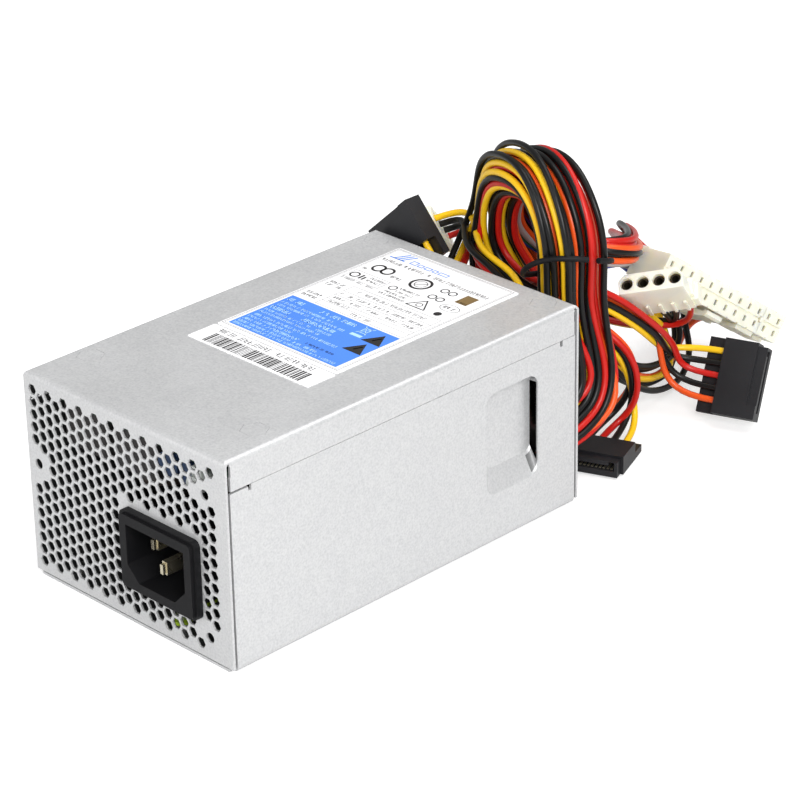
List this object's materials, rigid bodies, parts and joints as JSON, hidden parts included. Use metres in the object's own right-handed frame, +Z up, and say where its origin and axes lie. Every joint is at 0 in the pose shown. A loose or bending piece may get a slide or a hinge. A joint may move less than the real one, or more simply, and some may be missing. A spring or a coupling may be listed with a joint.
{
  "type": "power supply unit",
  "caption": "Slim vented steel-cased computer power supply with a mains inlet on its front panel, a bottom fan and a looped multi-colour wire harness ending in board and drive plugs.",
  "frame": {"origin": "centre of the case's bottom face", "axes": "+Z up through the labelled top; +Y from the mains inlet panel to the cable end; +X to the side with the pressed pocket"},
  "size_m": [0.1106, 0.2612, 0.1003],
  "materials": {
    "galvanised_steel": "galvanised, fine spangle, satin",
    "screw_steel": "zinc plated",
    "black_plastic": "moulded, light grain",
    "pin_metal": "tinned brass",
    "label_film": "printed film",
    "ivory_nylon": "translucent moulded nylon",
    "wire_insulation": "smooth PVC in many colours",
    "copper_wire": "enamelled copper",
    "iron_core": "powder core",
    "winding_tape": "tape and lacquer",
    "circuit_board": "solder mask",
    "insulation_film": "clear film",
    "capacitor_sleeve": "shrink sleeve",
    "heatsink_aluminium": "mill finish",
    "bearing_bronze": "sintered bronze",
    "fuse_body": "glass tube in plated clips"
  },
  "bodies": {
    "case": {"chassis": "galvanised_steel", "cover": "galvanised_steel", "cover_screws": "screw_steel", "inlet_housing": "black_plastic", "inlet_pins": "pin_metal", "mains_leads": "wire_insulation", "earth_lead": "wire_insulation", "earth_screw": "screw_steel", "rating_label": "label_film", "serial_label": "label_film", "cable_bushing": "black_plastic", "output_leads": "wire_insulation", "fan_frame": "black_plastic", "fan_bearing": "bearing_bronze", "fan_stator": "copper_wire", "fan_screws": "screw_steel", "fan_lead": "wire_insulation", "fan_plug": "ivory_nylon", "insulation_sheet": "insulation_film", "main_pcb": "circuit_board", "pcb_standoffs": "screw_steel", "pcb_screws": "screw_steel", "bulk_capacitor": "capacitor_sleeve", "filter_capacitors": "winding_tape", "safety_capacitors": "winding_tape", "choke_core": "iron_core", "choke_winding": "copper_wire", "fuse_holder": "fuse_body", "bridge_rectifier": "black_plastic", "primary_heatsink": "heatsink_aluminium", "primary_transistors": "black_plastic", "boost_core": "iron_core", "boost_winding": "copper_wire", "transformer_core": "iron_core", "transformer_winding": "winding_tape", "standby_transformer": "winding_tape", "secondary_heatsink": "heatsink_aluminium", "secondary_diodes": "black_plastic", "output_core": "iron_core", "output_winding": "copper_wire", "output_capacitors": "capacitor_sleeve", "control_board": "circuit_board", "atx_housing": "ivory_nylon", "atx_side_block": "ivory_nylon", "atx_terminals": "pin_metal", "drive_housings": "ivory_nylon", "drive_terminals": "pin_metal", "sata_housings": "black_plastic", "sata_contacts": "pin_metal", "atx_cable": "wire_insulation", "drive_cable_front": "wire_insulation", "drive_cable_back": "wire_insulation", "sata_cable_right": "wire_insulation", "sata_cable_low": "wire_insulation", "sata_cable_left": "wire_insulation", "harness_tie": "black_plastic"},
    "fan_rotor": {"fan_impeller": "black_plastic", "fan_magnet": "iron_core", "fan_shaft": "screw_steel"},
    "latch": {"atx_latch": "ivory_nylon"}
  },
  "joints": [
    {"name": "fan_spin", "type": "hinge", "parent": "case", "child": "fan_rotor", "pos_m": [-0.0013, 0.008, 0.01], "axis": [0, 0, 1], "continuous": true},
    {"name": "atx_latch_press", "type": "hinge", "parent": "case", "child": "latch", "pos_m": [0.01459, 0.15933, 0.02378], "axis": [0.3591, 0.7363, -0.5736], "range_deg": [0, 7], "stiffness_Nm_per_rad": 0.5}
  ]
}
